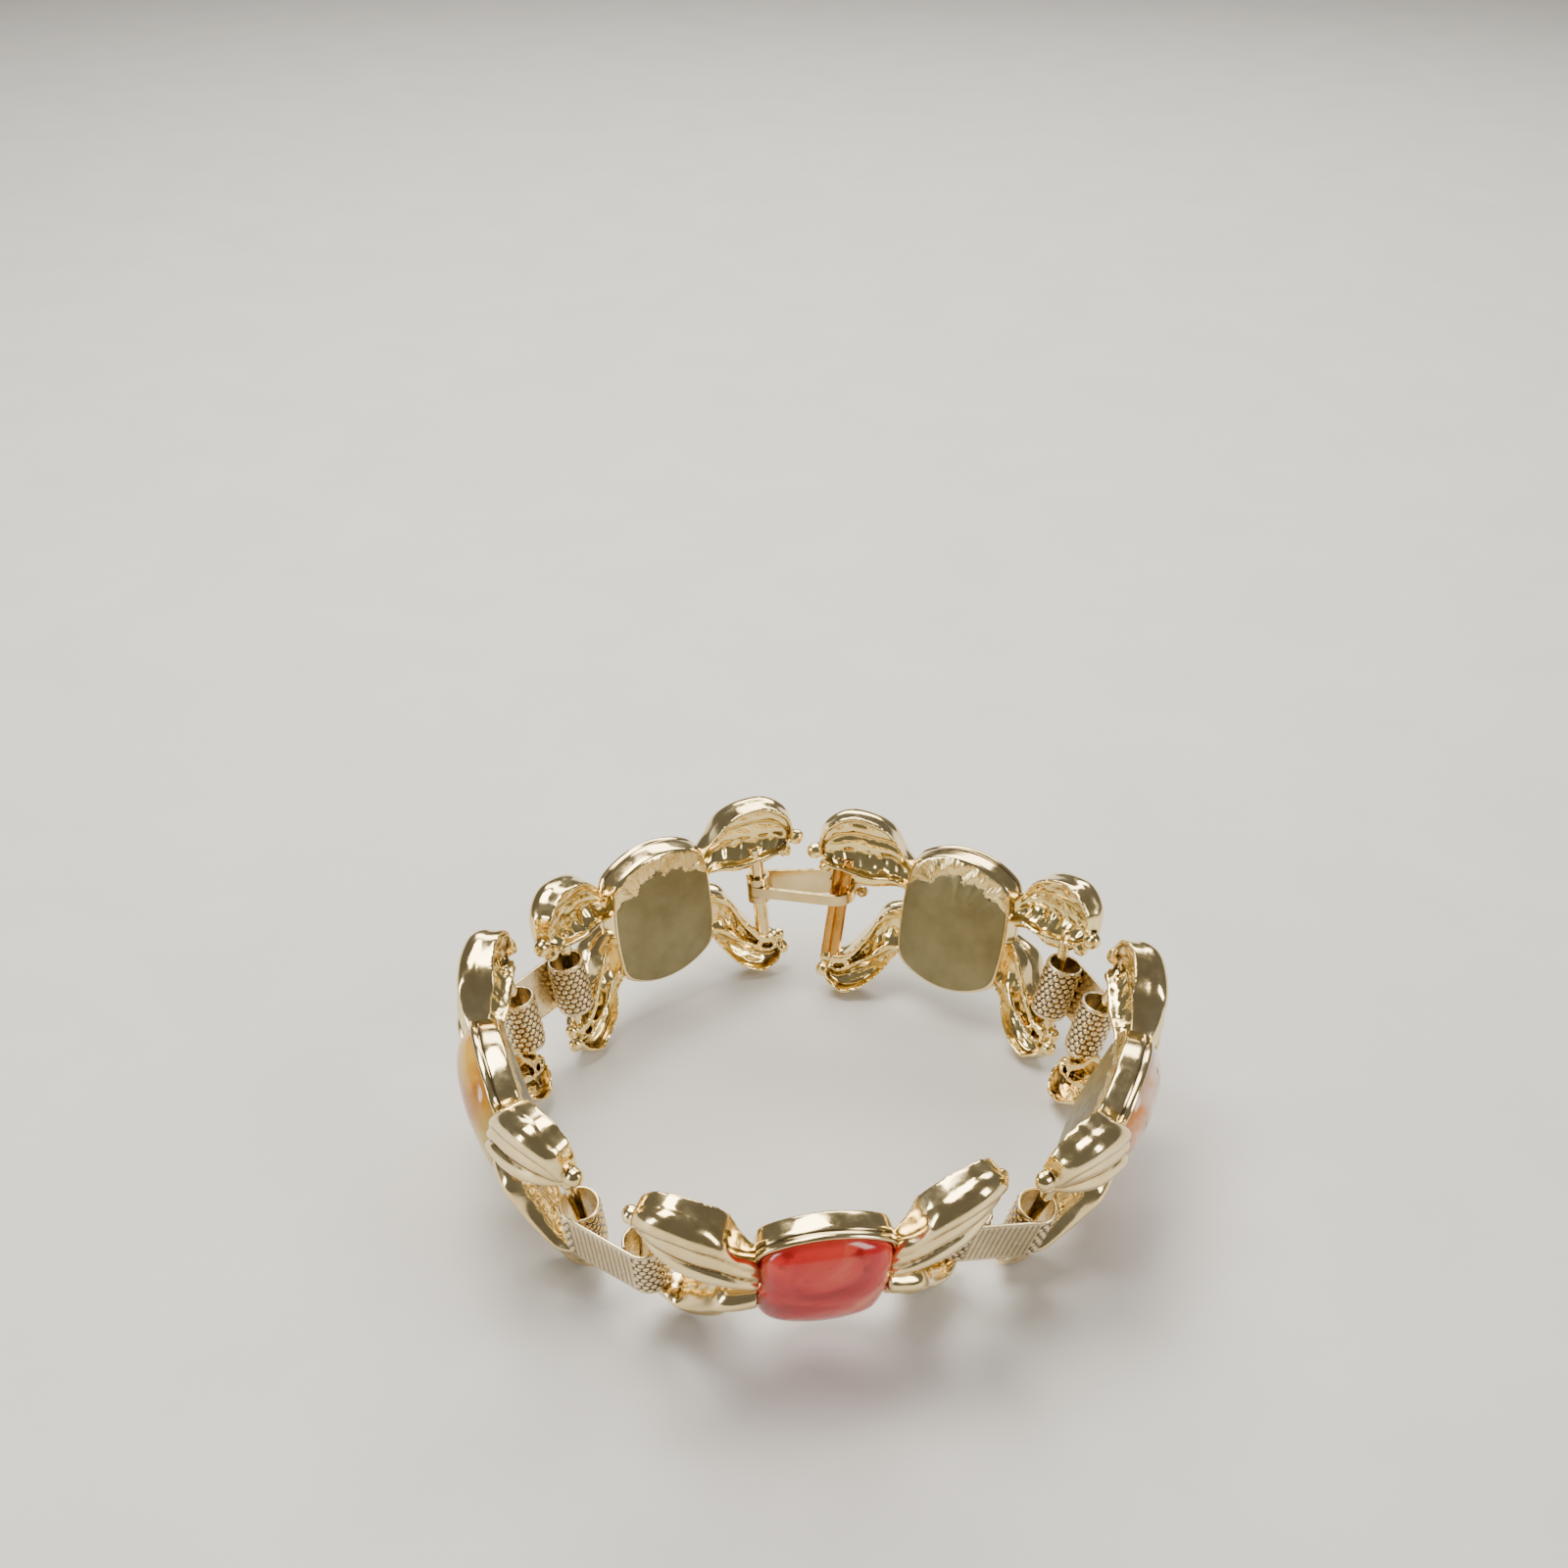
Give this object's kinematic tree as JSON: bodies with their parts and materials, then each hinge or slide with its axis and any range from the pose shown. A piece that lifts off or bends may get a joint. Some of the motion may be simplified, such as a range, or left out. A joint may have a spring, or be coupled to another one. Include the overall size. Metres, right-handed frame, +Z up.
{
  "type": "chain bracelet",
  "caption": "Linked bracelet of fluted scroll settings with domed oval-barrel stones, joined by rolled strap connectors and closed by a fold-over hook clasp.",
  "frame": {"origin": "middle of the wrist hollow on the surface that the bracelet stands on", "axes": "+Z up through the wrist hollow, -Y towards the red stone, the clasp at +Y"},
  "size_m": [0.0684, 0.0622, 0.0216],
  "materials": {
    "setting_metal": "polished pale gold plate",
    "plate_metal": "satin, darkened",
    "link_metal": "knurled, polished pale gold plate",
    "clasp_metal": "polished pale gold plate",
    "stone_red": "polished, marbled red",
    "stone_amber": "polished, marbled amber",
    "stone_white": "polished, marbled white and pink",
    "stone_green": "polished, pale green"
  },
  "bodies": {
    "band": {"back_plate_back_left": "plate_metal", "back_plate_back_right": "plate_metal", "back_plate_front": "plate_metal", "back_plate_left": "plate_metal", "back_plate_right": "plate_metal", "clasp_tongue": "clasp_metal", "connector_back_left_left": "link_metal", "connector_front_right": "link_metal", "connector_left_front": "link_metal", "connector_right_back_right": "link_metal", "setting_back_left": "setting_metal", "setting_back_right": "setting_metal", "setting_front": "setting_metal", "setting_left": "setting_metal", "setting_right": "setting_metal", "stone_back_left": "stone_green", "stone_back_right": "stone_green", "stone_front": "stone_red", "stone_left": "stone_amber", "stone_right": "stone_white"},
    "clasp_cover": {"clasp_cover": "clasp_metal"}
  },
  "joints": [
    {"name": "clasp_cover_hinge", "type": "hinge", "parent": "band", "child": "clasp_cover", "pos_m": [-0.00534, 0.027, 0.01066], "axis": [-0.0795, 0.0928, 0.9925], "range_deg": [0, 100]}
  ]
}
